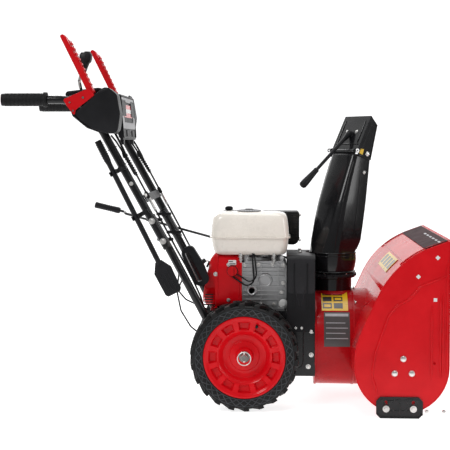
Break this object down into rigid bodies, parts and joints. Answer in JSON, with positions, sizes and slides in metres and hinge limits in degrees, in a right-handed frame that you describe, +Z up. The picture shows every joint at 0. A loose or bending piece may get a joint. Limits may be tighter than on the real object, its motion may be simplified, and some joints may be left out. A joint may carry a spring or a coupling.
{
  "type": "two stage snowblower",
  "caption": "Walk-behind two stage snowblower: auger intake, impeller, turning chute with deflector, engine, wheels and a folding handle with hand controls.",
  "frame": {"origin": "on the ground, at the middle of the machine's length and width", "axes": "+X forward to the auger, +Y to the machine's left, +Z up"},
  "size_m": [1.3339, 0.634, 1.1324],
  "materials": {
    "red_paint": "gloss powder coat",
    "black_paint": "satin powder coat",
    "cream_paint": "gloss",
    "heat_black": "matt heat paint",
    "red_plastic": "satin",
    "black_plastic": "fine grain",
    "zinc": "zinc plated",
    "cast_alloy": "as cast",
    "iron": "oiled",
    "bronze": "sintered",
    "rubber": "matt",
    "tyre": "moulded"
  },
  "bodies": {
    "chassis": {"chassis_frame": "black_paint", "bottom_cover": "zinc", "shaft_bushes": "bronze", "impeller_drum": "red_paint", "auger_hood": "red_paint", "side_plate_right": "red_paint", "side_plate_left": "red_paint", "scraper_blade": "zinc", "housing_bolts": "zinc", "auger_gearbox": "cast_alloy", "belt_cover": "black_plastic", "drive_belts": "rubber", "drive_chain": "zinc", "engine_block": "cast_alloy", "engine_cylinder": "cast_alloy", "blower_housing": "red_paint", "recoil_cover": "red_paint", "fuel_tank": "cream_paint", "muffler": "heat_black", "air_cleaner": "black_plastic", "lower_tube_right": "black_paint", "lower_tube_left": "black_paint", "fold_bolts": "zinc"},
    "wheels": {"drive_axle": "zinc", "rim_right": "red_paint", "rim_left": "red_paint", "tyre_right": "tyre", "tyre_left": "tyre", "linchpins": "zinc"},
    "friction_drive": {"friction_shaft": "zinc"},
    "disc": {"drive_disc": "cast_alloy"},
    "engine_shaft": {"crankshaft": "iron"},
    "impeller": {"impeller_fan": "red_paint", "impeller_shaft": "zinc", "impeller_pulley": "cast_alloy"},
    "auger": {"auger_shaft": "zinc", "auger_flight_right": "red_paint", "auger_flight_left": "red_paint"},
    "chute": {"chute_channel": "black_paint", "chute_ring": "black_plastic"},
    "deflector": {"deflector": "black_paint", "deflector_lever": "black_plastic"},
    "crank": {"chute_crank": "black_plastic"},
    "handle": {"upper_tube_right": "black_paint", "upper_tube_left": "black_paint", "handle_brace": "black_paint", "console_shell": "black_plastic", "console_fascia": "black_plastic", "handle_grips": "rubber", "handle_bolts": "zinc", "clutch_cables": "rubber"},
    "lever_right": {"clutch_lever_right": "red_plastic"},
    "lever_left": {"clutch_lever_left": "red_plastic"},
    "shifter": {"shift_lever": "black_plastic"},
    "skid_right": {"skid_shoe_right": "black_paint"},
    "skid_left": {"skid_shoe_left": "black_paint"},
    "starter_grip": {"recoil_grip": "black_plastic"},
    "cap": {"fuel_cap": "black_plastic"},
    "tool": {"cleanout_tool": "black_plastic"},
    "switch": {"engine_switch": "red_plastic"}
  },
  "joints": [
    {"name": "wheels_spin", "type": "hinge", "parent": "chassis", "child": "wheels", "pos_m": [0.0605, 0, 0.165], "axis": [0, 1, 0], "continuous": true},
    {"name": "friction_spin", "type": "hinge", "parent": "chassis", "child": "friction_drive", "pos_m": [0.1265, 0, 0.205], "axis": [0, 1, 0], "continuous": true},
    {"name": "disc_spin", "type": "hinge", "parent": "chassis", "child": "disc", "pos_m": [0.1805, 0, 0.205], "axis": [1, 0, 0], "continuous": true},
    {"name": "crankshaft_spin", "type": "hinge", "parent": "chassis", "child": "engine_shaft", "pos_m": [0.0605, 0, 0.396], "axis": [1, 0, 0], "continuous": true},
    {"name": "impeller_spin", "type": "hinge", "parent": "chassis", "child": "impeller", "pos_m": [0.3305, 0, 0.19], "axis": [1, 0, 0], "continuous": true},
    {"name": "auger_spin", "type": "hinge", "parent": "chassis", "child": "auger", "pos_m": [0.5305, 0, 0.147], "axis": [0, 1, 0], "continuous": true},
    {"name": "chute_turn", "type": "hinge", "parent": "chassis", "child": "chute", "pos_m": [0.3375, 0, 0.39], "axis": [0, 0, 1], "range_deg": [-135, 65]},
    {"name": "crank_turn", "type": "hinge", "parent": "chassis", "child": "crank", "pos_m": [0.3455, 0.084, 0.391], "axis": [-0.9429, 0.24, 0.2308], "continuous": true},
    {"name": "deflector_tilt", "type": "hinge", "parent": "chute", "child": "deflector", "pos_m": [0.37027, 0.02294, 0.787], "axis": [-0.5736, 0.8192, 0], "range_deg": [0, 50]},
    {"name": "handle_fold", "type": "hinge", "parent": "chassis", "child": "handle", "pos_m": [-0.1885, 0, 0.512], "axis": [0, 1, 0], "range_deg": [-70, 0], "deforming": ["clutch_cables"]},
    {"name": "lever_right_squeeze", "type": "hinge", "parent": "handle", "child": "lever_right", "pos_m": [-0.4175, -0.265, 0.95], "axis": [0, -1, 0], "range_deg": [0, 65], "stiffness_Nm_per_rad": 0.6, "springref_deg": -34.38},
    {"name": "lever_left_squeeze", "type": "hinge", "parent": "handle", "child": "lever_left", "pos_m": [-0.4175, 0.265, 0.95], "axis": [0, -1, 0], "range_deg": [0, 65], "stiffness_Nm_per_rad": 0.6, "springref_deg": -34.38},
    {"name": "gear_shift", "type": "hinge", "parent": "handle", "child": "shifter", "pos_m": [-0.4515, -0.06, 0.925], "axis": [0, 1, 0], "range_deg": [-14, 14]},
    {"name": "tool_unclip", "type": "slide", "parent": "handle", "child": "tool", "axis": [0, -1, 0], "range_m": [0, 0.06]},
    {"name": "skid_right_height", "type": "slide", "parent": "chassis", "child": "skid_right", "axis": [0, 0, 1], "range_m": [-0.018, 0]},
    {"name": "skid_left_height", "type": "slide", "parent": "chassis", "child": "skid_left", "axis": [0, 0, 1], "range_m": [-0.018, 0]},
    {"name": "starter_pull", "type": "slide", "parent": "chassis", "child": "starter_grip", "axis": [-0.8, 0, 0.6], "range_m": [0, 0.6], "stiffness_N_per_m": 20, "springref_m": -0.1},
    {"name": "cap_turn", "type": "hinge", "parent": "chassis", "child": "cap", "pos_m": [0.0695, -0.045, 0.6], "axis": [0, 0, 1], "range_deg": [0, 90]},
    {"name": "switch_turn", "type": "hinge", "parent": "chassis", "child": "switch", "pos_m": [0.0185, -0.11, 0.41], "axis": [0, -1, 0], "range_deg": [0, 60]}
  ],
  "couplings": [
    {"joint": "friction_spin", "follows": "wheels_spin", "ratio": 2.7778},
    {"joint": "auger_spin", "follows": "impeller_spin", "ratio": 0.1},
    {"joint": "crank_turn", "follows": "chute_turn", "ratio": 20}
  ]
}
